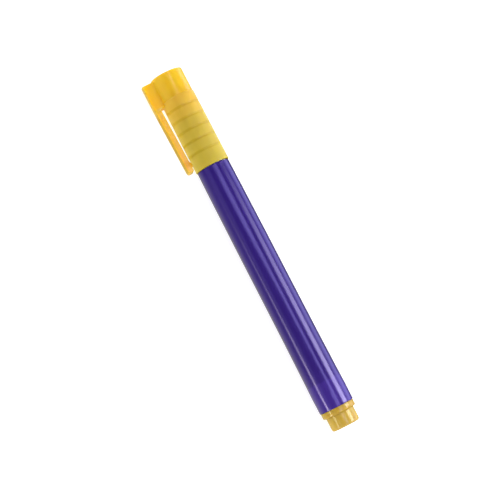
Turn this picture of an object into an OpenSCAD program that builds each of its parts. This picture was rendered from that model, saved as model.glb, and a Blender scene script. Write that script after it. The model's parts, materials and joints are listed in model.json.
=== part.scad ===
// Fibre-tip fabric marking pen: a round barrel with a capped, ink-fed nib.
// The pen lies along X with its cap at -X. It rests on z = 0 the way a dropped pen does:
// on the barrel, and on the corner of the clip's boss, so the clip leans to -Y and down.
// Inside lay(), x is the distance from the crown of the cap along the pen's axis,
// and the clip stands on the -y side.

/* [Overall] */
// Length from the crown of the cap to the end of the plug
overall_length = 136; // [132:1:145]

/* [Barrel] */
// Diameter where the barrel meets the cap
barrel_front_d = 11.82; // [11.6:0.02:11.9]
// Diameter of the straight grip
barrel_grip_d = 12.16; // [12.1:0.02:12.3]
// Diameter over the plug end
barrel_rear_d = 12.56; // [12.5:0.02:12.7]
// Extra radius where the plug's bead stretches the barrel
barrel_swell = 0.04; // [0:0.01:0.08]
// Bore of the barrel around the reservoir
barrel_bore_d = 10; // [9.8:0.05:10.1]
// Number of ribs that centre the reservoir
rib_count = 6; // [3:1:8]

/* [Cap] */
// Length of the cap from crown to mouth
cap_length = 35.9; // [35:0.1:38]
// Diameter of the plain crown
crown_d = 11.86; // [11.7:0.02:12]
// Length of the plain crown
crown_length = 9; // [8.5:0.1:9.4]
// Diameter of the grained grip at its crown end
grip_d = 12.3; // [12.2:0.02:12.4]
// Diameter at the mouth
mouth_d = 12.48; // [12.4:0.02:12.6]
// Number of grooves round the grip
groove_count = 5; // [3:1:5]
// Distance from groove to groove
groove_pitch = 4.22; // [3.8:0.02:4.4]
// Width of a groove
groove_width = 1.1; // [0.8:0.1:1.4]
// Depth of a groove
groove_depth = 0.18; // [0.1:0.02:0.3]

/* [Clip] */
// Width of the clip round the pen
clip_width = 4.8; // [4:0.1:5.2]
// Thickness of the clip at its middle
clip_thickness = 2.45; // [2.2:0.05:2.6]
// Distance from the pen's axis to the back of the clip
clip_reach = 9.83; // [9.7:0.01:10]
// Radius of the gentle crown across the back of the clip
clip_crown = 8; // [6:0.5:14]
// Distance from the crown to the clip's tip
clip_tip = 35; // [33:0.1:35.4]
// Lean of the clip towards the cap, in degrees
clip_lean = 1.3; // [1:0.02:1.4]

/* [Plug] */
// Diameter of the plug's flange
flange_d = 12.12; // [11.8:0.02:12.2]
// Length of the flange
flange_length = 2.2; // [1.5:0.1:2.4]
// Diameter of the knob that the cap is posted on
knob_d = 10.2; // [10.1:0.02:10.3]
// Length of the knob
knob_length = 5; // [4:0.1:6]

/* [Nib] */
// Diameter of the fibre nib
nib_d = 2; // [1.6:0.1:2.2]
// Distance from the crown to the nib's point
nib_point = 10.6; // [9.5:0.1:12]

/* [Hidden] */
$fn = 96;

cut = 0.02;               // how far a cutter runs past the face it opens
arc_steps = 6;            // segments of a small rounded edge
slip = 0.03;              // radial gap of two fitted pieces that stay put
running = 0.1;            // radial gap of the cap on the nose

// stations along the axis, from the crown
shoulder_x = cap_length + 0.1;
barrel_end_x = overall_length - knob_length - flange_length;
flange_end_x = overall_length - knob_length;
socket_x = barrel_end_x - 9.9;    // where the plug's socket starts in the barrel
bead_x = barrel_end_x - 5.8;      // middle of the plug's bead
spigot_end_x = shoulder_x + 10;   // rear end of the nose's spigot
land_x = shoulder_x - 10.5;       // front end of the land that the cap runs on
seal_x = land_x - 5;              // front end of the land that the inner cap seals on
nose_tip_x = seal_x - 4.7;        // front face of the nose
core_front_x = spigot_end_x + 1;
core_rear_x = socket_x - 0.9;
nib_rear_x = core_front_x + 8;

// radii
spigot_bore_r = 4.8;
land_r = 5.1;
seal_r = 3.9;
cone_r = 3.4;
tip_r = 1.75;
socket_r = 5.2;
wrap_r = 4.3;
wrap_thickness = 0.15;
mouth_bore_r = land_r + running;
liner_r = 4.75;
liner_front_x = 1.9;              // closed end of the inner cap
bead_r = socket_r + 0.13;
bead_half = 0.6;                  // half the bead's length

// clip section: flat inside and sides, crowned back
boss_top_x = 0.7;
boss_end_x = 10.4;
boss_fillet = 0.9;
clip_gap = 0.03;                  // slit between the boss and the clip's root
pad_x = 32.6;                     // the pad that presses the cloth on the cap
pad_r = 1.5;
pad_clear = 0.12;
tip_round = 0.7;

// how the pen rests: the boss's corner is as low as the barrel
corner_out = clip_reach - clip_crown + sqrt(clip_crown * clip_crown - clip_width * clip_width / 4);
corner_r = norm([corner_out, clip_width / 2]);
axis_z = barrel_rear_d / 2 + barrel_swell;
roll = asin(axis_z / corner_r) - atan(clip_width / 2 / corner_out);
// its box is centred on the origin
axis_y = (corner_out * cos(roll) + clip_width / 2 * sin(roll) - axis_z) / 2;

// ---- helpers -------------------------------------------------------------

// Puts a piece made in pen stations into the part's own frame.
module lay() {
    translate([-overall_length / 2, axis_y, axis_z]) rotate([roll, 0, 0]) children();
}

// Turns an outline of [station, radius] points round the pen's axis.
module turned(outline) {
    rotate([0, 90, 0])
        rotate_extrude()
            polygon([for (p = outline) [p[1], p[0]]]);
}

// A straight round hole or rod between two stations.
module rod(x1, x2, r) {
    translate([x1, 0, 0]) rotate([0, 90, 0]) cylinder(h = x2 - x1, r = r);
}

// Points of a quarter circle about c, from angle a1 to a2.
function quarter(c, r, a1, a2) =
    [for (i = [0:arc_steps]) let (a = a1 + (a2 - a1) * i / arc_steps)
        [c[0] + r * cos(a), c[1] + r * sin(a)]];

// Points of a smooth low swell of height h and half length w at station x.
function swell(x, r, w, h) =
    [for (i = [0:2 * arc_steps]) let (s = i / arc_steps - 1)
        [x + s * w, r + h * (1 + cos(180 * s)) / 2]];

// Points of one groove with round shoulders, from its left to its right edge.
function groove(x, r) =
    [[x - groove_width / 2, r], [x - groove_width / 3, r - groove_depth * 0.8],
     [x - groove_width / 6, r - groove_depth], [x + groove_width / 6, r - groove_depth],
     [x + groove_width / 3, r - groove_depth * 0.8], [x + groove_width / 2, r]];

function grip_r(x) =
    grip_d / 2 + (mouth_d - grip_d) / 2 * (x - crown_length) / (cap_length - crown_length);

// ---- barrel --------------------------------------------------------------

module barrel_outside() {
    front_r = barrel_front_d / 2;
    grip_r = barrel_grip_d / 2;
    rear_r = barrel_rear_d / 2;
    edge = 0.3;
    turned(concat(
        [[shoulder_x, 0]],
        quarter([shoulder_x + edge, front_r - edge], edge, 180, 90),
        [[shoulder_x + 8, front_r + 0.09], [shoulder_x + 30, grip_r],
         [shoulder_x + 64, grip_r], [shoulder_x + 76, grip_r + 0.1]],
        [[bead_x - 4, rear_r - 0.01]],
        swell(bead_x, rear_r, 1.6, barrel_swell),
        quarter([barrel_end_x - edge, rear_r - edge], edge, 90, 0),
        [[barrel_end_x, 0]]));
}

module barrel_inside() {
    turned([[shoulder_x - cut, 0], [shoulder_x - cut, spigot_bore_r],
            [spigot_end_x + 0.5, spigot_bore_r],
            [spigot_end_x + 1, barrel_bore_d / 2], [socket_x, barrel_bore_d / 2],
            [socket_x, socket_r], [bead_x - bead_half, socket_r],
            [bead_x - bead_half / 3, bead_r], [bead_x + bead_half / 3, bead_r],
            [bead_x + bead_half, socket_r], [barrel_end_x - 0.4, socket_r],
            [barrel_end_x + cut, socket_r + 0.4], [barrel_end_x + cut, 0]]);
}

module barrel_ribs() {
    rib_front = core_front_x + 3;
    rib_length = socket_x - 2 - rib_front;
    height = barrel_bore_d / 2 - wrap_r;
    for (i = [0:rib_count - 1])
        rotate([i * 360 / rib_count, 0, 0])
            translate([rib_front, -0.3, wrap_r + 0.05])
                cube([rib_length, 0.6, height + 0.2]);
}

module barrel() {
    color("#3a2a9a") lay() {
        difference() {
            barrel_outside();
            barrel_inside();
        }
        barrel_ribs();
    }
}

// ---- nose section --------------------------------------------------------

module nose_outside() {
    turned([[nose_tip_x, 0], [nose_tip_x, tip_r - 0.2], [nose_tip_x + 0.2, tip_r],
            [seal_x, cone_r], [seal_x, seal_r - 0.2], [seal_x + 0.2, seal_r],
            [land_x, seal_r], [land_x, land_r - 0.3], [land_x + 0.3, land_r],
            [shoulder_x - 3.6, land_r], [shoulder_x - 3.1, land_r + 0.05],
            [shoulder_x - 2.7, land_r + 0.05], [shoulder_x - 2.2, land_r],
            [shoulder_x - slip, land_r], [shoulder_x - slip, spigot_bore_r - slip],
            [spigot_end_x - 0.6, spigot_bore_r - slip],
            [spigot_end_x, spigot_bore_r - 0.4], [spigot_end_x, 0]]);
}

module nose_inside() {
    chamber_x = land_x + 5;
    turned([[chamber_x, 0], [chamber_x + 1.5, 2.6], [chamber_x + 2.5, 3.5],
            [spigot_end_x + cut, 3.7], [spigot_end_x + cut, 0]]);
    rod(nose_tip_x - cut, chamber_x + 1, nib_d / 2 + slip);
    for (side = [0, 180])
        rotate([side, 0, 0])
            translate([nose_tip_x - cut, -0.25, 0])
                cube([chamber_x - nose_tip_x + 1, 0.5, nib_d / 2 + 0.35]);
}

module nose_section() {
    color("#ece8da") lay() difference() {
        nose_outside();
        nose_inside();
    }
}

// ---- ink system ----------------------------------------------------------

module nib() {
    r = nib_d / 2;
    point_r = 0.35;
    taper = 2.6;
    color("#8c60b8") lay() turned(concat(
        quarter([nib_point + point_r, 0], point_r, 180, 110),
        [[nib_point + taper, r - 0.12], [nib_point + taper + 0.5, r],
         [nib_rear_x - 1.5, r], [nib_rear_x, 0.4], [nib_rear_x, 0]]));
}

module reservoir_core() {
    color("#9870c6") lay() difference() {
        rod(core_front_x, core_rear_x, wrap_r - wrap_thickness - 0.01);
        turned([[core_front_x - cut, 0], [core_front_x - cut, nib_d / 2 + 0.02],
                [nib_rear_x - 1.4, nib_d / 2 + 0.02], [nib_rear_x + 0.1, 0.45],
                [nib_rear_x + 0.1, 0]]);
    }
}

module reservoir_wrap() {
    color("#f4f4f0") lay() difference() {
        rod(core_front_x, core_rear_x, wrap_r);
        rod(core_front_x - cut, core_rear_x + cut, wrap_r - wrap_thickness);
    }
}

// ---- end plug ------------------------------------------------------------

module plug_outside() {
    flange_r = flange_d / 2;
    knob_r = knob_d / 2;
    edge = 0.25;
    round_end = 0.7;
    fit_r = socket_r - slip;
    turned(concat(
        [[socket_x + 0.2, 0], [socket_x + 0.2, fit_r - 0.5], [socket_x + 1, fit_r],
         [bead_x - bead_half, fit_r], [bead_x - bead_half / 3, bead_r - slip],
         [bead_x + bead_half / 3, bead_r - slip], [bead_x + bead_half, fit_r],
         [barrel_end_x - 0.5, fit_r], [barrel_end_x + slip, fit_r + 0.4]],
        quarter([barrel_end_x + slip + edge, flange_r - edge], edge, 180, 90),
        quarter([flange_end_x - edge, flange_r - edge], edge, 90, 0),
        [[flange_end_x, knob_r]],
        quarter([overall_length - round_end, knob_r - round_end], round_end, 90, 0),
        [[overall_length, 0]]));
}

module plug_webs() {
    reach_x = core_rear_x + 0.15;
    across = 8.2;
    thick = 0.8;
    for (turn = [45, 135])
        rotate([turn, 0, 0])
            translate([reach_x, -across / 2, -thick / 2])
                cube([flange_end_x - reach_x, across, thick]);
}

module end_plug() {
    color("#e0b040") lay() {
        difference() {
            plug_outside();
            turned([[socket_x, 0], [socket_x, 3.9], [flange_end_x, 3.7],
                    [overall_length - 1.4, 3.4], [overall_length - 1.4, 0]]);
            rod(overall_length - 0.3, overall_length + cut, 0.9);
        }
        difference() {
            plug_webs();
            rod(flange_end_x - 3, flange_end_x + cut, 1.5);
        }
    }
}

// ---- cap -----------------------------------------------------------------

module cap_outside() {
    edge = 0.3;
    step = 0.25;
    first = crown_length + groove_pitch;
    turned(concat(
        [[0, 0]],
        quarter([edge, crown_d / 2 - edge], edge, 180, 90),
        [[crown_length, crown_d / 2], [crown_length + step, grip_r(crown_length)]],
        [for (i = [0:groove_count - 1]) let (x = first + i * groove_pitch)
            each groove(x, grip_r(x))],
        quarter([cap_length - edge, mouth_d / 2 - edge], edge, 90, 0),
        [[cap_length, 0]]));
}

module cap_inside() {
    seat_r = liner_r + 0.04;
    turned([[liner_front_x - 0.1, 0], [liner_front_x - 0.1, seat_r],
            [land_x - 0.6, seat_r], [land_x - 0.2, mouth_bore_r],
            [shoulder_x - 3.8, mouth_bore_r], [shoulder_x - 3.2, mouth_bore_r + 0.05],
            [shoulder_x - 2.6, mouth_bore_r + 0.05], [shoulder_x - 2, mouth_bore_r],
            [cap_length - 0.4, mouth_bore_r], [cap_length + cut, mouth_bore_r + 0.4],
            [cap_length + cut, 0]]);
}

// Flat outline of the clip or boss across the pen: y is the distance from the axis.
module clip_section(bottom, top) {
    intersection() {
        translate([bottom, -clip_width / 2]) square([top - bottom, clip_width]);
        translate([top - clip_crown, 0]) circle(r = clip_crown);
    }
}

// The concave blend from the crown's round wall to one side of the boss.
module boss_blend() {
    reach = crown_d / 2 + boss_fillet;
    up = clip_width / 2 + boss_fillet;
    out = sqrt(reach * reach - up * up);
    on_wall = crown_d / 2 / reach;
    difference() {
        polygon([[out * on_wall - 0.3, up * on_wall - 0.5], [out * on_wall, up * on_wall],
                 [out, up], [out, clip_width / 2 - 0.3]]);
        translate([out, up]) circle(r = boss_fillet);
    }
}

// Stands a flat outline on the side of the pen between two stations.
module on_side(x1, x2) {
    translate([x1, 0, 0])
        rotate([180, 0, 0])
            rotate([90, 0, 90])
                linear_extrude(height = x2 - x1)
                    children();
}

module boss() {
    on_side(boss_top_x, boss_end_x) union() {
        clip_section(crown_d / 2 - 1, clip_reach);
        boss_blend();
        mirror([0, 1]) boss_blend();
    }
}

module cap() {
    color("#d8b83c") lay() difference() {
        union() {
            cap_outside();
            boss();
        }
        cap_inside();
    }
}

// ---- clip ----------------------------------------------------------------

// The bar leans in about the outer corner of its root.
module clip_bar() {
    root_x = boss_end_x + clip_gap;
    bar_length = clip_tip - root_x;
    translate([root_x, -clip_reach, 0])
        rotate([0, 0, clip_lean])
            translate([0, clip_reach, 0])
                difference() {
                    on_side(-0.2, bar_length)
                        clip_section(clip_reach - clip_thickness, clip_reach);
                    clip_tip_cutter(bar_length);
                }
}

// Rounds the tip of the bar, seen from its side.
module clip_tip_cutter(end_x) {
    for (edge = [[clip_reach, 1], [clip_reach - clip_thickness, -1]])
        translate([end_x - tip_round, -edge[0] + edge[1] * tip_round, 0])
            difference() {
                translate([0, edge[1] > 0 ? -tip_round - 1 : 0, -clip_width])
                    cube([tip_round + 1, tip_round + 1, 2 * clip_width]);
                cylinder(h = 4 * clip_width, r = tip_round, center = true);
            }
}

module clip_pad() {
    pad_y = mouth_d / 2 + pad_clear + pad_r;
    translate([pad_x, -pad_y, 0])
        cylinder(h = clip_width - 1, r = pad_r, center = true);
}

module clip() {
    color("#f0b838") lay() difference() {
        union() {
            clip_bar();
            clip_pad();
        }
        translate([boss_end_x + clip_gap - 2, -clip_reach - 1, -clip_width])
            cube([2, clip_thickness + 3, 2 * clip_width]);
    }
}

// ---- inner cap -----------------------------------------------------------

module inner_cap() {
    color("#f2efe2") lay() difference() {
        rod(liner_front_x, land_x - 0.8, liner_r);
        turned([[liner_front_x + 1.3, 0], [liner_front_x + 1.3, 2.4],
                [nose_tip_x - 1, 2.4], [nose_tip_x - 0.6, cone_r + 0.2],
                [seal_x - 0.2, cone_r + 0.2], [seal_x, seal_r + slip],
                [land_x - 1.2, seal_r + slip], [land_x - 0.8 + cut, seal_r + 0.4],
                [land_x - 0.8 + cut, 0]]);
    }
}

barrel();
nose_section();
nib();
reservoir_core();
reservoir_wrap();
end_plug();
inner_cap();
cap();
clip();
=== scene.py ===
import json
import math

import bpy
from mathutils import Matrix, Vector


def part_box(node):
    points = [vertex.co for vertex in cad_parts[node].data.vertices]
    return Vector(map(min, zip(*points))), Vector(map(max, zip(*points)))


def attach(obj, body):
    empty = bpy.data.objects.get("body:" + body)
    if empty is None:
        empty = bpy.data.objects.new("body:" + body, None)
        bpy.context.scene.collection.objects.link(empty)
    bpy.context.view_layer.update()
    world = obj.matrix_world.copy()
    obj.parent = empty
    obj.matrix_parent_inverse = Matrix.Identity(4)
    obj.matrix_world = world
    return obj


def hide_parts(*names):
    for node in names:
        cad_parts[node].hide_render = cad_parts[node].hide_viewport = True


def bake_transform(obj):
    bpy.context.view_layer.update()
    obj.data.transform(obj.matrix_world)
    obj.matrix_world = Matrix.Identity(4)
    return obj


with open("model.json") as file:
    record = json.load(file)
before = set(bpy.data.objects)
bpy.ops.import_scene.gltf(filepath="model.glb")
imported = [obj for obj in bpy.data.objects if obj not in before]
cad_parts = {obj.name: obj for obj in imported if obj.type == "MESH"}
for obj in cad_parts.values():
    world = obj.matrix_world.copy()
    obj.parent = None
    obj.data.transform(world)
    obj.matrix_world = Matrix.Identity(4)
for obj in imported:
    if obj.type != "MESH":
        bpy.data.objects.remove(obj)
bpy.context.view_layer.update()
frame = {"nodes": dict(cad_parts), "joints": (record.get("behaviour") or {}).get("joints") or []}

# ---------------------------------------------------------------------------
# Barrel: one violet polypropylene moulding, slightly barrel-shaped. It is tight
# on the nose in front, and the plug's bead stretches its rear end by a hair.
# ---------------------------------------------------------------------------
MM = 0.001
barrel_lo, barrel_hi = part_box("barrel")
axis_y = (barrel_lo.y + barrel_hi.y) / 2
axis_z = (barrel_lo.z + barrel_hi.z) / 2
crown_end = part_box("cap")[0].x
shoulder = 36.0
barrel_end = 128.8
bead_station = barrel_end - 5.8
bead_height = 0.13
nose_seat = 4.8
nose_seat_end = 46.6
barrel_bore = 5.0
plug_seat = 5.2
plug_seat_start = 118.9
front_lip = 0.3
rear_lip = 0.25


def station(x, radius=0.0):
    """The place above the pen's axis at a station: millimetres from the cap's crown."""
    return Vector((crown_end + x * MM, axis_y, axis_z + radius * MM))


def quarter(x, radius, size, start, end, steps=5):
    """Points of a rounded edge: a quarter circle round (x, radius)."""
    angles = [math.radians(start + (end - start) * i / steps) for i in range(steps + 1)]
    return [(x + size * math.cos(a), radius + size * math.sin(a)) for a in angles]


def snap_bead(radius):
    """The plug's snap bead on a wall of this radius, or the barrel's groove for it."""
    return [(bead_station - 0.6, radius), (bead_station - 0.2, radius + bead_height),
            (bead_station + 0.2, radius + bead_height), (bead_station + 0.6, radius)]


# the outside swells slowly to the rear, and once more over the plug's bead
long_swell = [(38.0, 5.925), (41.0, 5.96), (44.0, 5.985), (50.0, 6.015), (57.0, 6.035),
              (66.0, 6.08), (76.0, 6.085), (88.0, 6.09), (100.0, 6.11), (106.0, 6.15),
              (111.0, 6.185), (115.8, 6.22), (118.0, 6.245), (119.6, 6.27)]
bead_swell = [(bead_station + step / 2, 6.28 + 0.035 * math.cos(math.pi * step / 10))
              for step in range(-5, 6)]
barrel_outline = (
    [(shoulder, nose_seat)]
    + quarter(shoulder + front_lip, 5.6, front_lip, 180, 90)
    + [(shoulder + 0.5, 5.895)] + long_swell + bead_swell + [(126.9, 6.27)]
    + quarter(barrel_end - rear_lip, 6.01, rear_lip, 90, 0)
    + [(barrel_end, 5.6), (barrel_end - 0.4, plug_seat)]
    + snap_bead(plug_seat)[::-1]
    + [(plug_seat_start, plug_seat), (plug_seat_start, barrel_bore),
       (nose_seat_end + 0.4, barrel_bore), (nose_seat_end, nose_seat), (shoulder, nose_seat)])


def deselect_all():
    if bpy.context.mode != "OBJECT":
        bpy.ops.object.mode_set(mode="OBJECT")
    bpy.ops.object.select_all(action="DESELECT")


def activate(piece):
    deselect_all()
    piece.select_set(True)
    bpy.context.view_layer.objects.active = piece


def settle(piece, name, smooth_angle=35):
    """Names a finished mesh, sets its place in its points and smooths its faces."""
    activate(piece)
    piece.name = piece.data.name = name
    bpy.ops.object.transform_apply(location=True, rotation=True, scale=True)
    bpy.ops.object.shade_smooth_by_angle(angle=math.radians(smooth_angle))
    return piece


def turned(outline, steps=160):
    """Turns an outline of (station, radius) points round the axis, as on a lathe."""
    deselect_all()
    bpy.ops.mesh.primitive_plane_add(size=MM, location=station(*outline[0]))
    piece = bpy.context.object
    bpy.ops.object.mode_set(mode="EDIT")
    bpy.ops.mesh.merge(type="CENTER")
    for (x0, r0), (x1, r1) in zip(outline, outline[1:]):
        step = ((x1 - x0) * MM, 0, (r1 - r0) * MM)
        bpy.ops.mesh.extrude_vertices_move(TRANSFORM_OT_translate={"value": step})
    bpy.ops.mesh.select_all(action="SELECT")
    bpy.ops.mesh.spin(steps=steps, angle=math.tau, center=station(0), axis=(1, 0, 0))
    bpy.ops.mesh.select_all(action="SELECT")
    bpy.ops.mesh.remove_doubles(threshold=MM / 2000)
    bpy.ops.mesh.normals_make_consistent(inside=False)
    bpy.ops.object.mode_set(mode="OBJECT")
    return piece


barrel_shell = settle(turned(barrel_outline), "barrel_shell")


def linear(red, green, blue):
    """A colour given in the usual 0 to 255 steps, for a shader's socket."""
    def one(value):
        value /= 255
        return value / 12.92 if value <= 0.04045 else ((value + 0.055) / 1.055) ** 2.4
    return (one(red), one(green), one(blue), 1.0)


def add_node(tree, kind, **settings):
    node = tree.nodes.new(kind)
    for key, value in settings.items():
        setattr(node, key, value)
    return node


def feed(tree, socket, given):
    """Sets a socket to a number or a colour, or links another node's output to it."""
    if isinstance(given, (int, float, tuple)):
        socket.default_value = given
    else:
        tree.links.new(given, socket)


def new_group(name, inputs, outputs):
    """An empty node group with named float inputs and float outputs."""
    group = bpy.data.node_groups.new(name, "ShaderNodeTree")
    for title, value in inputs:
        socket = group.interface.new_socket(title, in_out="INPUT", socket_type="NodeSocketFloat")
        socket.default_value = value
    for title in outputs:
        group.interface.new_socket(title, in_out="OUTPUT", socket_type="NodeSocketFloat")
    return group, add_node(group, "NodeGroupInput"), add_node(group, "NodeGroupOutput")


def stretched_noise(tree, stretch, scale, detail=3.0):
    """Noise on Object coordinates in millimetres, drawn out by stretch."""
    place = add_node(tree, "ShaderNodeTexCoord")
    mapping = add_node(tree, "ShaderNodeMapping")
    mapping.inputs["Scale"].default_value = [1000 * s for s in stretch]
    noise = add_node(tree, "ShaderNodeTexNoise")
    noise.inputs["Scale"].default_value = scale
    noise.inputs["Detail"].default_value = detail
    tree.links.new(place.outputs["Object"], mapping.inputs["Vector"])
    tree.links.new(mapping.outputs["Vector"], noise.inputs["Vector"])
    return noise.outputs["Fac"]


def mapped(tree, value, from_low, from_high, to_low, to_high, smooth=False):
    """Carries a value from one range to another, without going past its ends."""
    node = add_node(tree, "ShaderNodeMapRange")
    node.interpolation_type = "SMOOTHSTEP" if smooth else "LINEAR"
    for title, given in (("From Min", from_low), ("From Max", from_high),
                         ("To Min", to_low), ("To Max", to_high), ("Value", value)):
        feed(tree, node.inputs[title], given)
    return node.outputs["Result"]


def arithmetic(tree, operation, first, second):
    node = add_node(tree, "ShaderNodeMath", operation=operation)
    feed(tree, node.inputs[0], first)
    feed(tree, node.inputs[1], second)
    return node.outputs["Value"]


def blended(tree, factor, first, second, way="MIX"):
    """Mixes two colours, each a fixed colour or a socket."""
    mix = add_node(tree, "ShaderNodeMix", data_type="RGBA", blend_type=way)
    first_colour, second_colour, mixed_colour = mix.inputs[6], mix.inputs[7], mix.outputs[2]
    feed(tree, mix.inputs["Factor"], factor)
    feed(tree, first_colour, first)
    feed(tree, second_colour, second)
    return mixed_colour


def moulded_skin():
    """The uneven skin that a moulding has: Tone, Gloss and Height.

    Its colour flows in faint streaks along the pen, handling clouds its gloss, and it
    ripples like orange peel and carries hair-fine scuffs."""
    group, given, result = new_group(
        "moulded_skin", [("Roughness", 0.2), ("Cloud", 0.06), ("Ripple", 0.3), ("Scuffs", 0.5)],
        ["Tone", "Gloss", "Height"])
    streaks = stretched_noise(group, (0.03, 0.35, 0.35), 1.0)
    group.links.new(mapped(group, streaks, 0.3, 0.7, 0.0, 1.0), result.inputs["Tone"])

    clouds = stretched_noise(group, (0.12, 0.2, 0.2), 1.0, 4.0)
    hairs = stretched_noise(group, (0.25, 9.0, 9.0), 1.0, 2.0)
    hair_lines = mapped(group, hairs, 0.66, 0.76, 0.0, 1.0)
    scuffs = arithmetic(group, "MULTIPLY", hair_lines, given.outputs["Scuffs"])
    cloudy = arithmetic(group, "MULTIPLY", mapped(group, clouds, 0.35, 0.7, 0.0, 1.0),
                        given.outputs["Cloud"])
    worn = arithmetic(group, "MULTIPLY", scuffs, 0.12)
    gloss = arithmetic(group, "ADD", arithmetic(group, "ADD", cloudy, worn),
                       given.outputs["Roughness"])
    group.links.new(gloss, result.inputs["Gloss"])

    peel = stretched_noise(group, (1.0, 1.0, 1.0), 1.1, 2.0)
    ripple = arithmetic(group, "MULTIPLY", peel, given.outputs["Ripple"])
    scratch = arithmetic(group, "MULTIPLY", scuffs, -0.1)
    group.links.new(arithmetic(group, "ADD", ripple, scratch), result.inputs["Height"])
    return group


SKIN = moulded_skin()


def along_pen(tree):
    """The station of a shaded point, in millimetres from the crown."""
    place = add_node(tree, "ShaderNodeTexCoord")
    split = add_node(tree, "ShaderNodeSeparateXYZ")
    tree.links.new(place.outputs["Object"], split.inputs["Vector"])
    metres = arithmetic(tree, "SUBTRACT", split.outputs["X"], crown_end)
    return arithmetic(tree, "MULTIPLY", metres, 1000.0)


def plastic(name, colours, roughness, ripple=0.3, cloud=0.05, scuffs=0.5, bump=0.01,
            milky=0.0, ior=1.5, gloss_tint=(1.0, 1.0, 1.0, 1.0)):
    """A moulded plastic. colours is a list of (station, colour) along the pen."""
    material = bpy.data.materials.new(name)
    material.use_nodes = True
    tree = material.node_tree
    shader = tree.nodes["Principled BSDF"]
    shader.inputs["IOR"].default_value = ior
    shader.inputs["Specular Tint"].default_value = gloss_tint
    if milky:
        shader.inputs["Subsurface Weight"].default_value = milky
        shader.inputs["Subsurface Radius"].default_value = (1.0, 0.8, 0.3)
        shader.inputs["Subsurface Scale"].default_value = 2.0 * MM

    skin = add_node(tree, "ShaderNodeGroup", node_tree=SKIN)
    skin.inputs["Roughness"].default_value = roughness
    skin.inputs["Cloud"].default_value = cloud
    skin.inputs["Ripple"].default_value = ripple
    skin.inputs["Scuffs"].default_value = scuffs

    x = along_pen(tree)
    colour = colours[0][1]
    for (x0, before), (x1, after) in zip(colours, colours[1:]):
        colour = blended(tree, mapped(tree, x, x0, x1, 0.0, 1.0, smooth=True), colour, after)
    streak = blended(tree, 1.0, colour, (0.92, 0.92, 0.92, 1.0), way="MULTIPLY")
    base = blended(tree, skin.outputs["Tone"], colour, streak)
    tree.links.new(base, shader.inputs["Base Color"])
    tree.links.new(skin.outputs["Gloss"], shader.inputs["Roughness"])

    relief = add_node(tree, "ShaderNodeBump", name="relief")
    relief.inputs["Strength"].default_value = 1.0
    relief.inputs["Distance"].default_value = bump * MM
    tree.links.new(skin.outputs["Height"], relief.inputs["Height"])
    tree.links.new(relief.outputs["Normal"], shader.inputs["Normal"])
    return material


# the colour steps up where the amber plug shines through the wall
barrel_colours = [
    (shoulder, linear(46, 27, 113)), (110.0, linear(46, 27, 109)),
    (plug_seat_start - 0.3, linear(50, 31, 113)), (plug_seat_start + 0.7, linear(60, 39, 128)),
    (129.0, linear(60, 39, 128))]
barrel_plastic = plastic("barrel_violet", barrel_colours, roughness=0.16, ripple=0.4, cloud=0.05,
                         scuffs=0.4, bump=0.02, ior=1.62, gloss_tint=(0.6, 0.53, 1.0, 1.0))
barrel_shell.data.materials.append(barrel_plastic)
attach(barrel_shell, "barrel")
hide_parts("barrel")

# ---------------------------------------------------------------------------
# End plug: an amber moulding pushed into the barrel until its bead snaps home.
# Its flange covers the barrel's end, and the cap is posted on its knob.
# ---------------------------------------------------------------------------
pen_end = 136.0
flange_start = barrel_end + 0.03
flange_end = pen_end - 5.0
flange_rounding = 0.4
knob_rounding = 0.7
spigot_start = plug_seat_start + 0.2
spigot_radius = 5.17
end_wall = 1.4
web_size = (12.4, 8.4, 0.8)
web_middle = 124.8
plug_outline = (
    [(spigot_start, 3.9), (spigot_start, 4.65), (spigot_start + 0.8, spigot_radius)]
    + snap_bead(spigot_radius)
    + [(barrel_end - 0.5, spigot_radius), (flange_start, 5.5)]
    + quarter(flange_start + 0.2, 5.85, 0.2, 180, 90)
    + [(flange_start + 0.35, 6.052), (flange_start + 1.0, 6.055), (flange_end - 0.55, 6.052)]
    + quarter(flange_end - flange_rounding, 6.05 - flange_rounding, flange_rounding, 90, 0)
    + [(flange_end, 5.3), (flange_end + 0.12, 5.14), (flange_end + 0.4, 5.1),
       (flange_end + 0.6, 5.098), (pen_end - 0.85, 5.09)]
    + quarter(pen_end - knob_rounding, 5.09 - knob_rounding, knob_rounding, 90, 0, steps=8))
gate_dimple = [(pen_end, 2.0), (pen_end, 0.95), (pen_end - 0.06, 0.82), (pen_end - 0.26, 0.74),
               (pen_end - 0.3, 0.6), (pen_end - 0.3, 0.0)]
plug_inside = [(pen_end - end_wall, 0.0), (pen_end - end_wall, 3.2), (pen_end - end_wall - 0.2, 3.4),
               (spigot_start, 3.9)]
end_plug = turned(plug_outline + gate_dimple + plug_inside)


def apply_all(piece):
    activate(piece)
    for modifier in list(piece.modifiers):
        bpy.ops.object.modifier_apply(modifier=modifier.name)


def combine(piece, other, operation):
    """Joins another solid to a piece, or cuts it out, and removes the other solid."""
    boolean = piece.modifiers.new("combine", "BOOLEAN")
    boolean.operation = operation
    boolean.solver = "EXACT"
    boolean.object = other
    apply_all(piece)
    bpy.data.objects.remove(other)


def block_on_axis(middle, size, turn):
    """A block of size (length, width, thickness) on the pen's axis, turned round it."""
    deselect_all()
    bpy.ops.mesh.primitive_cube_add(size=MM, location=station(middle))
    block = bpy.context.object
    block.scale = size
    block.rotation_euler = (math.radians(turn), 0, 0)
    activate(block)
    bpy.ops.object.transform_apply(location=True, rotation=True, scale=True)
    return block


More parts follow.
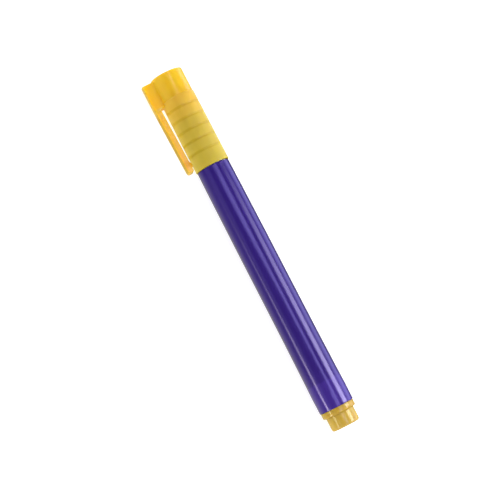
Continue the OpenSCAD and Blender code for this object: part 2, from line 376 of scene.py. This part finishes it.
# two crossed webs stiffen the spigot and stop the ink bundle
for turn in (45, 135):
    combine(end_plug, block_on_axis(web_middle, web_size, turn), "UNION")
settle(end_plug, "end_plug_moulding")
plug_plastic = plastic(
    "plug_amber",
    [(129.0, linear(188, 154, 58)), (131.0, linear(188, 154, 58)), (131.3, linear(194, 162, 66)),
     (136.0, linear(196, 164, 68))],
    roughness=0.17, ripple=0.06, cloud=0.04, scuffs=0.15, bump=0.015, milky=0.6, ior=1.42)
end_plug.data.materials.append(plug_plastic)
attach(end_plug, "barrel")
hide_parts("end_plug")

# ---------------------------------------------------------------------------
# Cap: one yellow moulding. Its crown and the boss of the clip are polished; its
# grip is spark-eroded and matt, with polished grooves round it.
# ---------------------------------------------------------------------------
crown_radius = 5.93
crown_length = 9.0
cap_length = 35.9
groove_pitch = 4.22
groove_count = 5
groove_half = 0.65
groove_depth = 0.07
cap_bore = 5.2
liner_bore = 4.79
liner_shoulder = 25.5
snap_groove = 32.9
crown_wall = 1.8


def grip_radius(x):
    """The grip widens a little to the mouth."""
    return 6.15 + 0.09 * (x - crown_length) / (cap_length - crown_length)


def groove(middle):
    """A shallow round-bottomed groove; the grain stops at its two outer points."""
    radius = grip_radius(middle)
    fifths = [step / 5 for step in range(-5, 6)]
    return [(middle + groove_half * s, radius - groove_depth * (1 + math.cos(math.pi * s)) / 2)
            for s in fifths]


groove_middles = [crown_length + groove_pitch * (i + 1) for i in range(groove_count)]
cap_outline = (
    [(0.0, 0.0), (0.0, 3.0)]
    + quarter(0.35, crown_radius - 0.35, 0.35, 180, 90)
    + [(0.6, crown_radius), (crown_length - 0.15, crown_radius), (crown_length, crown_radius),
       (crown_length + 0.08, crown_radius + 0.05), (crown_length + 0.2, 6.09),
       (crown_length + 0.32, grip_radius(crown_length))]
    + [point for middle in groove_middles for point in groove(middle)]
    + [(34.0, grip_radius(34.0)), (cap_length - 0.45, 6.24)]
    + quarter(cap_length - 0.25, 5.99, 0.25, 90, 0)
    + [(cap_length, 5.6), (cap_length - 0.4, cap_bore), (snap_groove + 0.6, cap_bore),
       (snap_groove + 0.4, cap_bore + 0.05), (snap_groove, cap_bore + 0.05),
       (snap_groove - 0.7, cap_bore), (liner_shoulder, cap_bore), (liner_shoulder - 0.5, liner_bore),
       (crown_wall, liner_bore), (crown_wall, 0.0)])
cap_shell = turned(cap_outline)

flex = next(joint for joint in frame["joints"] if joint["name"] == "clip_flex")
across = -Vector(flex["axis"])
out_of_pen = Vector((1, 0, 0)).cross(across)
lean_of_clip_side = math.atan2(-across.y, across.z)
clip_half_width = 2.4
clip_back = 9.83
clip_crown = 8.0


def back_height(v):
    """Distance of the clip's gently crowned back from the pen's axis, v off its middle."""
    return clip_back - clip_crown + math.sqrt(clip_crown ** 2 - v ** 2)


def drawn(outline, plane):
    """A flat face through an outline on the -Y side of the axis, still to be extruded.

    plane "across" takes points (u, v) at station 0, and "along" takes (station, u)."""
    def place(a, b):
        return (0, -a * MM, b * MM) if plane == "across" else (a * MM, -b * MM, 0)
    points = [Vector(place(*point)) for point in outline]
    deselect_all()
    bpy.ops.mesh.primitive_plane_add(size=MM, location=station(0))
    piece = bpy.context.object
    bpy.ops.object.mode_set(mode="EDIT")
    bpy.ops.mesh.merge(type="CENTER")
    bpy.ops.transform.translate(value=points[0])
    for before, after in zip(points, points[1:]):
        bpy.ops.mesh.extrude_vertices_move(TRANSFORM_OT_translate={"value": after - before})
    bpy.ops.mesh.select_all(action="SELECT")
    bpy.ops.mesh.edge_face_add()
    return piece


def rounded_edges(piece, width, segments=3, angle=40):
    bevel = piece.modifiers.new("rounded edges", "BEVEL")
    bevel.width = width * MM
    bevel.segments = segments
    bevel.limit_method = "ANGLE"
    bevel.angle_limit = math.radians(angle)
    apply_all(piece)


def onto_clip_side(piece):
    """Turns a piece made on the -Y side round the axis to the side where the clip is."""
    activate(piece)
    piece.rotation_euler = (lean_of_clip_side, 0, 0)
    bpy.ops.object.transform_apply(location=True, rotation=True, scale=True)


# the boss flares into the crown through two concave fillets, and its sides have a
# point near either end, so that they shade as flats
boss_start = 0.7
boss_end = 10.4
boss_length = boss_end - boss_start
boss_margin = 0.35
boss_rounding = 0.14
fillet = 0.9
fillet_v = clip_half_width + fillet
fillet_u = math.sqrt((crown_radius + fillet) ** 2 - fillet_v ** 2)
fillet_turn = math.degrees(math.atan2(fillet_v, fillet_u))
fillet_arc = quarter(fillet_u, fillet_v, fillet, 180 + fillet_turn, 270, steps=6)
draft = 0.3
boss_back_width = clip_half_width - draft
back_arc = [(back_height(boss_back_width * k / 4), boss_back_width * k / 4) for k in (4, 3, 2, 1)]
flat_side = [(fillet_u + 0.15, clip_half_width - 0.01),
             (back_height(boss_back_width) - boss_margin, boss_back_width + 0.02)]
sunk_root = [(4.9, 2.6)]
upper_half = sunk_root + fillet_arc + flat_side + back_arc
lower_half = [(u, -v) for u, v in reversed(upper_half)]
boss = drawn(upper_half + [(clip_back, 0.0)] + lower_half, "across")
bpy.ops.transform.translate(value=(boss_start * MM, 0, 0))
for length in (boss_margin, boss_length - 2 * boss_margin, boss_margin):
    bpy.ops.mesh.extrude_region_move(TRANSFORM_OT_translate={"value": (length * MM, 0, 0)})
bpy.ops.mesh.select_all(action="SELECT")
bpy.ops.mesh.normals_make_consistent(inside=False)
bpy.ops.object.mode_set(mode="OBJECT")
rounded_edges(boss, boss_rounding)
onto_clip_side(boss)
combine(cap_shell, boss, "UNION")
settle(cap_shell, "cap_shell")

cap_colours = [
    (0.0, linear(232, 189, 36)), (5.0, linear(229, 184, 34)), (9.0, linear(221, 176, 33)),
    (16.0, linear(207, 170, 34)), (19.0, linear(197, 169, 35)), (36.0, linear(191, 169, 37))]
# the grooves are painted darker and more saturated than the grip: painted shade in the grooves
groove_shaded_colours = [(x, (0.92 * red, 0.9 * green, 0.6 * blue, 1.0))
                  for x, (red, green, blue, alpha) in cap_colours]


def spark_grain():
    """Height of the fine matt grain that a spark-eroded mould leaves."""
    group, given, result = new_group("spark_grain", [("Grain", 1.0)], ["Height"])
    coarse = stretched_noise(group, (1.0, 1.0, 1.0), 5.0, 3.0)
    pits = mapped(group, coarse, 0.3, 0.7, 0.0, 1.0)
    height = arithmetic(group, "MULTIPLY", pits, given.outputs["Grain"])
    group.links.new(height, result.inputs["Height"])
    return group


GRAIN = spark_grain()


def grained(material, amount):
    """Adds the spark-eroded grain to a moulded plastic."""
    tree = material.node_tree
    relief = tree.nodes["relief"]
    smooth_height = relief.inputs["Height"].links[0].from_socket
    grains = add_node(tree, "ShaderNodeGroup", node_tree=GRAIN)
    grains.inputs["Grain"].default_value = amount
    height = arithmetic(tree, "ADD", smooth_height, grains.outputs["Height"])
    tree.links.new(height, relief.inputs["Height"])
    shader = tree.nodes["Principled BSDF"]
    shader.inputs["Sheen Weight"].default_value = 0.25
    shader.inputs["Sheen Roughness"].default_value = 0.4
    return material


cap_polished = plastic("cap_yellow_polished", cap_colours, roughness=0.2, ripple=0.3,
                       cloud=0.05, scuffs=0.4, bump=0.015, milky=0.7, ior=1.48)
cap_grained = grained(
    plastic("cap_yellow_grained", cap_colours, roughness=0.55, ripple=0.2, cloud=0.08,
            scuffs=0.3, bump=0.02, milky=0.7, ior=1.5), 0.8)
cap_groove = plastic("cap_yellow_groove", groove_shaded_colours, roughness=0.34, ripple=0.2, cloud=0.05,
                     scuffs=0.2, bump=0.01, milky=0.7, ior=1.45)
# the boss is solid, so it is warmer than the crown; the backs of the boss and the bar, which face
# down, get a darker copy of the yellow: painted shade
boss_plastic = plastic(
    "boss_yellow", [(0.0, linear(241, 196, 28)), (9.0, linear(242, 188, 18))],
    roughness=0.2, ripple=0.15, cloud=0.03, scuffs=0.3, bump=0.01, milky=0.7, ior=1.45)
clip_back_painted_shade = plastic(
    "clip_yellow_back_painted_shade", [(9.0, linear(196, 156, 38)), (35.0, linear(190, 156, 48))],
    roughness=0.4, ripple=0.15, cloud=0.03, scuffs=0.4, bump=0.01, milky=0.7, ior=1.45)
cap_finishes = [cap_polished, cap_grained, cap_groove, clip_back_painted_shade, boss_plastic]
boss_foot = 5.3
boss_back = 8.0
for finish in cap_finishes:
    cap_shell.data.materials.append(finish)


def faces_out(face):
    """True for the faces of the boss and the bar that look away from the pen; they get the darker
    copy of the yellow, painted shade.
    """
    return face.normal.dot(out_of_pen) > 0.8


def cap_finish(face):
    """The finish that a face of the cap has, by its place."""
    x = (face.center.x - crown_end) / MM
    off_grip = math.hypot(face.center.y - axis_y, face.center.z - axis_z) / MM - grip_radius(x)
    depth = (face.center - station(0)).dot(out_of_pen) / MM
    # the backs facing away from the pen get the darker copy of the yellow: painted shade
    if depth > boss_back and faces_out(face):
        return clip_back_painted_shade
    if depth > boss_foot and x < boss_end:
        return boss_plastic
    if x < crown_length + 0.25 or x > cap_length - 0.3 or off_grip < -0.15 or off_grip > 0.1:
        return cap_polished
    from_groove = min(abs(x - middle) for middle in groove_middles)
    return cap_groove if from_groove < groove_half - 0.1 else cap_grained


for face in cap_shell.data.polygons:
    face.material_index = cap_finishes.index(cap_finish(face))
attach(cap_shell, "cap")
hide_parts("cap")

# ---------------------------------------------------------------------------
# Clip: the long springy bar of the same moulding. It leans in towards the cap,
# and a pad near its rounded tip presses the cloth.
# ---------------------------------------------------------------------------
clip_inner = clip_back - 2.45
clip_tip = 35.0
clip_lean = 1.3
pad_station = 32.6
pad_radius = 1.5
pad_drop = 1.0
tip_rounding = 0.8
edge_rounding = 0.22
pad_turn = math.degrees(math.asin(pad_drop / pad_radius))
root_fillet = 0.8
root_start = boss_end - 0.4
clip_outline = (
    [(root_start, clip_back), (20.0, clip_back), (30.0, clip_back)]
    + quarter(clip_tip - tip_rounding, clip_back - tip_rounding, tip_rounding, 90, 0)
    + quarter(clip_tip - 0.6, clip_inner + 0.6, 0.6, 0, -90)
    + quarter(pad_station, clip_inner + pad_drop, pad_radius, -pad_turn, -180 + pad_turn, steps=10)
    + [(24.0, clip_inner), (16.0, clip_inner)]
    + quarter(boss_end + root_fillet, clip_inner - root_fillet, root_fillet, 90, 180, steps=6)
    + [(root_start, clip_inner - root_fillet)])
clip_rows = 8
clip_bar = drawn(clip_outline, "along")
bpy.ops.transform.translate(value=(0, 0, -clip_half_width * MM))
for row in range(clip_rows):
    step = (0, 0, 2 * clip_half_width / clip_rows * MM)
    bpy.ops.mesh.extrude_region_move(TRANSFORM_OT_translate={"value": step})
bpy.ops.mesh.select_all(action="SELECT")
bpy.ops.mesh.normals_make_consistent(inside=False)
bpy.ops.object.mode_set(mode="OBJECT")
# the back is gently crowned, as the boss's is
for point in clip_bar.data.vertices:
    out = -point.co.y / MM
    crowned = (out - clip_inner) / (clip_back - clip_inner)
    if crowned > 0:
        drop = clip_back - back_height(point.co.z / MM)
        point.co.y += drop * crowned * MM
rounded_edges(clip_bar, edge_rounding)
activate(clip_bar)
bpy.ops.object.mode_set(mode="EDIT")
bpy.ops.mesh.select_all(action="SELECT")
bpy.ops.transform.rotate(value=math.radians(-clip_lean), orient_axis="Z",
                         center_override=station(boss_end) - Vector((0, clip_back * MM, 0)))
bpy.ops.object.mode_set(mode="OBJECT")
onto_clip_side(clip_bar)
settle(clip_bar, "clip_bar")
clip_plastic = plastic(
    "clip_yellow", [(9.0, linear(232, 182, 42)), (12.0, linear(238, 190, 60)),
                    (29.8, linear(236, 187, 58)), (31.4, linear(226, 166, 16)),
                    (32.4, linear(226, 166, 16)), (33.8, linear(234, 186, 58))],
    roughness=0.22, ripple=0.15, cloud=0.03, scuffs=0.3, bump=0.01, milky=0.7, ior=1.45)
clip_bar.data.materials.append(clip_plastic)
clip_bar.data.materials.append(clip_back_painted_shade)
# faces that look away from the pen get the darker copy of the yellow: painted shade
for face in clip_bar.data.polygons:
    face.material_index = 1 if faces_out(face) else 0
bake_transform(clip_bar)
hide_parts("clip")
# the thin, milky bar lets the light through, so the grip beside it is hardly shaded
clip_bar.visible_shadow = False
clip_bar.visible_diffuse = False

# ---------------------------------------------------------------------------
# Nose: an ivory moulding pressed into the barrel's mouth. The cap's bore runs on
# its land, the liner seals on its shoulder, and its cone grips the nib.
# ---------------------------------------------------------------------------
land_start = shoulder + 0.1 - 10.5
seal_start = land_start - 5.0
nose_tip = seal_start - 4.7
nose_end = 46.0
nib_bore = 1.03
land_radius = 5.1
barrel_fit = 4.78
vent_size = (14.0, 0.45, 2.7)
nose_outline = (
    [(nose_tip + 2.0, nib_bore), (nose_tip + 0.12, nib_bore), (nose_tip, nib_bore + 0.12)]
    + quarter(nose_tip + 0.2, 1.54, 0.2, 180, 100)
    + [(seal_start - 0.25, 3.33)]
    + quarter(seal_start - 0.18, 3.68, 0.2, 270, 300, steps=2)
    + quarter(seal_start + 0.2, 3.7, 0.2, 160, 90)
    + [(land_start - 0.15, 3.9), (land_start - 0.04, 3.94), (land_start, 4.05)]
    + quarter(land_start + 0.3, 4.8, 0.3, 180, 90)
    + [(32.4, land_radius), (32.7, 5.125), (33.0, 5.15), (33.4, 5.15), (33.7, 5.125),
       (34.0, land_radius), (shoulder, land_radius), (shoulder, barrel_fit),
       (nose_end - 0.6, barrel_fit), (nose_end, 4.4), (nose_end, 3.7), (34.0, 3.5), (32.0, 2.6),
       (30.6, nib_bore), (nose_tip + 2.0, nib_bore)])
nose = turned(nose_outline, steps=128)
# two crossed slots beside the nib let air into the barrel as the ink runs out
for turn in (0, 90):
    combine(nose, block_on_axis(nose_tip + 6, vent_size, turn), "DIFFERENCE")
settle(nose, "nose_moulding")
nose_plastic = plastic(
    "nose_ivory", [(15.0, linear(236, 232, 218)), (36.0, linear(232, 228, 214))],
    roughness=0.22, ripple=0.3, cloud=0.05, scuffs=0.5, bump=0.015)
nose.data.materials.append(nose_plastic)
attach(nose, "barrel")
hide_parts("nose_section")

# ---------------------------------------------------------------------------
# Nib: a rod of bonded polyester fibres ground to a round point. Its rear end
# stands in the ink bundle, and the ink has stained it violet.
# ---------------------------------------------------------------------------
nib_point = 10.6
nib_end = 55.0
nib_outline = (
    [(nib_point, 0.0)]
    + quarter(nib_point + 0.42, 0.0, 0.42, 170, 105, steps=6)
    + [(nib_point + 1.2, 0.6), (nib_point + 2.0, 0.76), (nib_point + 2.8, 0.9),
       (nib_point + 3.3, 0.97), (nib_point + 3.9, 1.0), (30.0, 1.0), (nib_end - 1.4, 1.0),
       (nib_end, 0.4), (nib_end, 0.0)])
nib = settle(turned(nib_outline, steps=64), "nib_fibre_rod")


def fibre_material(name, pale, dark, roughness):
    """Fibres that run along the pen: streaks of colour and fine ridges."""
    material = bpy.data.materials.new(name)
    material.use_nodes = True
    tree = material.node_tree
    shader = tree.nodes["Principled BSDF"]
    shader.inputs["Sheen Weight"].default_value = 0.3
    shader.inputs["Sheen Roughness"].default_value = 0.5
    fibres = stretched_noise(tree, (0.4, 12.0, 12.0), 1.0, 2.0)
    streaks = mapped(tree, fibres, 0.35, 0.65, 0.0, 1.0)
    tree.links.new(blended(tree, streaks, pale, dark), shader.inputs["Base Color"])
    tree.links.new(mapped(tree, streaks, 0.0, 1.0, roughness, roughness + 0.15),
                   shader.inputs["Roughness"])
    relief = add_node(tree, "ShaderNodeBump")
    relief.inputs["Distance"].default_value = 0.03 * MM
    tree.links.new(streaks, relief.inputs["Height"])
    tree.links.new(relief.outputs["Normal"], shader.inputs["Normal"])
    return material


nib.data.materials.append(
    fibre_material("nib_fibre", linear(128, 84, 176), linear(92, 52, 148), 0.6))
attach(nib, "barrel")
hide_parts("nib")

# ---------------------------------------------------------------------------
# Inside the barrel and the cap: the ink bundle, spun fibre in a film sleeve, and
# the soft natural-coloured liner, pressed into the cap, which seals on the nose.
# ---------------------------------------------------------------------------
hidden_finishes = {
    "reservoir_core": fibre_material(
        "ink_fibre", linear(150, 112, 196), linear(112, 70, 168), 0.75),
    "reservoir_wrap": plastic(
        "wrap_film", [(0.0, linear(228, 228, 236)), (pen_end, linear(222, 220, 232))],
        roughness=0.18, ripple=0.8, cloud=0.1, scuffs=0.2, bump=0.02),
    "inner_cap": grained(plastic(
        "liner_natural", [(0.0, linear(240, 238, 226)), (36.0, linear(232, 228, 212))],
        roughness=0.42, ripple=0.3, cloud=0.1, scuffs=0.3, bump=0.01), 0.15)}
for node_name, finish in hidden_finishes.items():
    frame["nodes"][node_name].material_slots[0].material = finish

# ---------------------------------------------------------------------------
# Studio: a white table and room, a long softbox over the pen, a fill beside the
# camera, white cards that light its edges, and a camera almost square on the pen.
# ---------------------------------------------------------------------------
camera_height = math.radians(53.88)
camera_distance = 0.5245
camera_x = 0.0424
camera_turn = math.radians(27.26)
axis_middle = station(68)
facing = Vector((0, -math.cos(camera_height), math.sin(camera_height)))
upward = Vector((0, math.sin(camera_height), math.cos(camera_height)))


def around_pen(angle, distance, x=0.0):
    """A place round the pen's axis; angle 0 is the camera's side and 90 is its upper edge."""
    turn = math.radians(angle)
    return axis_middle + Vector((x, 0, 0)) + (
        facing * math.cos(turn) + upward * math.sin(turn)) * distance


camera = bpy.data.objects.new("camera", bpy.data.cameras.new("camera"))
bpy.context.scene.collection.objects.link(camera)
camera.data.sensor_width = 36.0
camera.data.lens = 110.1
camera.data.clip_start = 0.01
camera.data.clip_end = 10.0
camera_place = around_pen(0, camera_distance, x=camera_x)
aim = axis_middle + Vector((-0.00035, 0, 0)) - upward * 0.00178
back = (camera_place - aim).normalized()
pen_way = (Vector((1, 0, 0)) - back * back.x).normalized()
side_way = back.cross(pen_way)
frame_right = pen_way * math.sin(camera_turn) + side_way * math.cos(camera_turn)
frame_up = side_way * math.sin(camera_turn) - pen_way * math.cos(camera_turn)
camera.matrix_world = Matrix.Translation(camera_place) @ Matrix(
    (frame_right, frame_up, back)).transposed().to_4x4()
bpy.context.scene.camera = camera


def softbox(name, angle, spread, distance, x_from, x_to, colour, glow_cap, glow_plug,
            glossy=True, diffuse=True):
    """A glowing panel that faces the pen, with its own glow at either end.

    Returns its tree, its own coordinates, its light and the strength of its light."""
    width = 2 * distance * math.tan(math.radians(spread) / 2)
    deselect_all()
    bpy.ops.mesh.primitive_plane_add(size=1.0)
    panel = bpy.context.object
    panel.name = name
    along = Vector((1, 0, 0))
    place = around_pen(angle, distance, x=(x_from + x_to) / 2)
    towards = (axis_middle - around_pen(angle, distance)).normalized()
    side = towards.cross(along)
    panel.matrix_world = Matrix.Translation(place) @ Matrix(
        (along, side, along.cross(side))).transposed().to_4x4() @ (
        Matrix.Diagonal((x_to - x_from, width, 1, 1)))
    panel.visible_camera = False
    panel.visible_glossy = glossy
    panel.visible_diffuse = diffuse
    material = bpy.data.materials.new(name)
    material.use_nodes = True
    tree = material.node_tree
    tree.nodes.clear()
    place = add_node(tree, "ShaderNodeTexCoord")
    split = add_node(tree, "ShaderNodeSeparateXYZ")
    tree.links.new(place.outputs["Object"], split.inputs["Vector"])
    glow = mapped(tree, split.outputs["X"], -0.5, 0.5, glow_cap, glow_plug)
    light = add_node(tree, "ShaderNodeEmission")
    light.inputs["Color"].default_value = colour
    tree.links.new(glow, light.inputs["Strength"])
    result = add_node(tree, "ShaderNodeOutputMaterial")
    tree.links.new(light.outputs["Emission"], result.inputs["Surface"])
    panel.data.materials.append(material)
    return tree, split, light, glow


softbox("key_softbox", 66, 28, 0.45, -0.115, 0.16, (1.0, 1.0, 0.9, 1.0), 0.1, 16.5)
softbox("back_card", 113, 44, 0.5, -0.4, 0.4, (1.0, 1.0, 1.35, 1.0), 1.7, 2.1)
softbox("front_card", -42, 18, 1.0, -0.6, 0.6, (1.0, 1.0, 1.0, 1.0), 0.5, 0.6, diffuse=False)
softbox("top_card", 95, 40, 0.6, -0.4, 0.4, (0.6, 0.85, 1.2, 1.0), 1.0, 1.0, glossy=False)
softbox("low_card", -48, 14, 0.6, -0.4, 0.4, (1.0, 1.0, 0.85, 1.0), 1.8, 1.8, glossy=False)

fill_angle = 12.5
fill_spread = 31.0
fill_from = -0.30
fill_to = 0.22
tree, split, light, glow = softbox("fill_softbox", fill_angle, fill_spread, 0.65, fill_from,
                                   fill_to, (0.95, 0.93, 1.25, 1.0), 3.3, 3.3)


def on_fill(x):
    """A place along X as the panel's own coordinate, from -0.5 to 0.5."""
    return (x - fill_from) / (fill_to - fill_from) - 0.5


def fill_edge(angle_at_cap, bends):
    """An edge of the fill, as an angle round the pen that each (start, end, change) bends."""
    edge = angle_at_cap
    for start, end, change in bends:
        edge = arithmetic(tree, "ADD", edge, mapped(
            tree, split.outputs["X"], on_fill(start), on_fill(end), 0.0, change))
    return edge


# flags shape the fill: its lower edge slants, so that its reflection narrows to the
# plug, and its upper edge is lower over the crown and the cap's mouth
lower_edge = fill_edge(17.5, (
    (-0.165, -0.12, -19.5), (-0.12, -0.1, -5.0), (-0.1, -0.084, 6.0), (-0.084, -0.035, 10.5),
    (-0.035, 0.056, 6.7), (0.066, 0.082, -12.0)))
upper_edge = fill_edge(25.0, (
    (-0.179, -0.174, 19.0), (-0.1415, -0.139, -26.0), (-0.1285, -0.126, 26.0)))
angle = arithmetic(tree, "SUBTRACT", fill_angle,
                   arithmetic(tree, "MULTIPLY", split.outputs["Y"], fill_spread))
above_lower = mapped(tree, arithmetic(tree, "SUBTRACT", angle, lower_edge),
                     -1.0, 2.0, 0.0, 1.0, smooth=True)
below_upper = mapped(tree, arithmetic(tree, "SUBTRACT", angle, upper_edge),
                     -2.0, 1.0, 1.0, 0.0, smooth=True)
lit = arithmetic(tree, "MULTIPLY", above_lower, below_upper)
tree.links.new(arithmetic(tree, "MULTIPLY", glow, lit), light.inputs["Strength"])

deselect_all()
bpy.ops.mesh.primitive_plane_add(size=6.0, location=(0, 0, 0))
table = bpy.context.object
table.name = "table"
table_white = bpy.data.materials.new("table_white")
table_white.use_nodes = True
tree = table_white.node_tree
tree.nodes.clear()
diffuse = add_node(tree, "ShaderNodeBsdfDiffuse")
diffuse.inputs["Color"].default_value = (0.35, 0.35, 0.35, 1.0)
rays = add_node(tree, "ShaderNodeLightPath")
lift = add_node(tree, "ShaderNodeEmission")
tree.links.new(mapped(tree, rays.outputs["Is Diffuse Ray"], 0.0, 1.0, 0.88, 1.4),
               lift.inputs["Strength"])
seen = add_node(tree, "ShaderNodeAddShader")
tree.links.new(diffuse.outputs["BSDF"], seen.inputs[0])
tree.links.new(lift.outputs["Emission"], seen.inputs[1])
place = add_node(tree, "ShaderNodeTexCoord")
split = add_node(tree, "ShaderNodeSeparateXYZ")
tree.links.new(place.outputs["Object"], split.inputs["Vector"])

# in the pen's gloss the table is bright in a strip beside the pen, weaker along the
# grip, and in a band further off that fades towards the cap
away = arithmetic(tree, "SUBTRACT", axis_y, split.outputs["Y"])
strip = arithmetic(tree, "ADD", mapped(tree, away, 0.002, 0.0065, 0.25, 0.9, smooth=True),
                   mapped(tree, away, 0.0085, 0.02, 0.0, -0.6, smooth=True))
beside_cap = arithmetic(tree, "ADD",
                        mapped(tree, split.outputs["X"], -0.0575, -0.0555, 1.1, 0.0, smooth=True),
                        mapped(tree, split.outputs["X"], -0.037, -0.030, 0.25, 1.0, smooth=True))
strip = arithmetic(tree, "MULTIPLY", strip, beside_cap)
band = mapped(tree, away, 0.036, 0.075, 0.0, 1.0, smooth=True)
fade = arithmetic(tree, "POWER", mapped(tree, split.outputs["X"], -0.045, 0.075, 0.0, 1.0), 2.0)
fade = arithmetic(tree, "ADD", arithmetic(tree, "MULTIPLY", fade, 14.0), 0.4)
mirror_glow = add_node(tree, "ShaderNodeEmission")
mirror_glow.inputs["Color"].default_value = (1.0, 0.97, 0.66, 1.0)
tree.links.new(arithmetic(tree, "ADD", strip, arithmetic(tree, "MULTIPLY", band, fade)),
               mirror_glow.inputs["Strength"])
choose = add_node(tree, "ShaderNodeMixShader")
tree.links.new(rays.outputs["Is Glossy Ray"], choose.inputs[0])
tree.links.new(seen.outputs[0], choose.inputs[1])
tree.links.new(mirror_glow.outputs["Emission"], choose.inputs[2])
result = add_node(tree, "ShaderNodeOutputMaterial")
tree.links.new(choose.outputs[0], result.inputs["Surface"])
table.data.materials.append(table_white)

world = bpy.data.worlds.new("studio")
bpy.context.scene.world = world
world.use_nodes = True
sky = world.node_tree
room = add_node(sky, "ShaderNodeLightPath")
towards = add_node(sky, "ShaderNodeTexCoord")
sideways = add_node(sky, "ShaderNodeSeparateXYZ")
sky.links.new(towards.outputs["Generated"], sideways.inputs["Vector"])
# mirrored, the room is dark over the pen and bright past its two ends
to_the_end = arithmetic(sky, "ABSOLUTE", sideways.outputs["X"], 0.0)
room_mirrored = mapped(sky, to_the_end, 0.3, 0.6, 0.05, 1.1, smooth=True)
sky.links.new(mapped(sky, room.outputs["Is Glossy Ray"], 0.0, 1.0, 0.62, room_mirrored),
              sky.nodes["Background"].inputs["Strength"])
sky.nodes["Background"].inputs["Color"].default_value = (1, 1, 1, 1)
bpy.context.scene.view_settings.view_transform = "Standard"
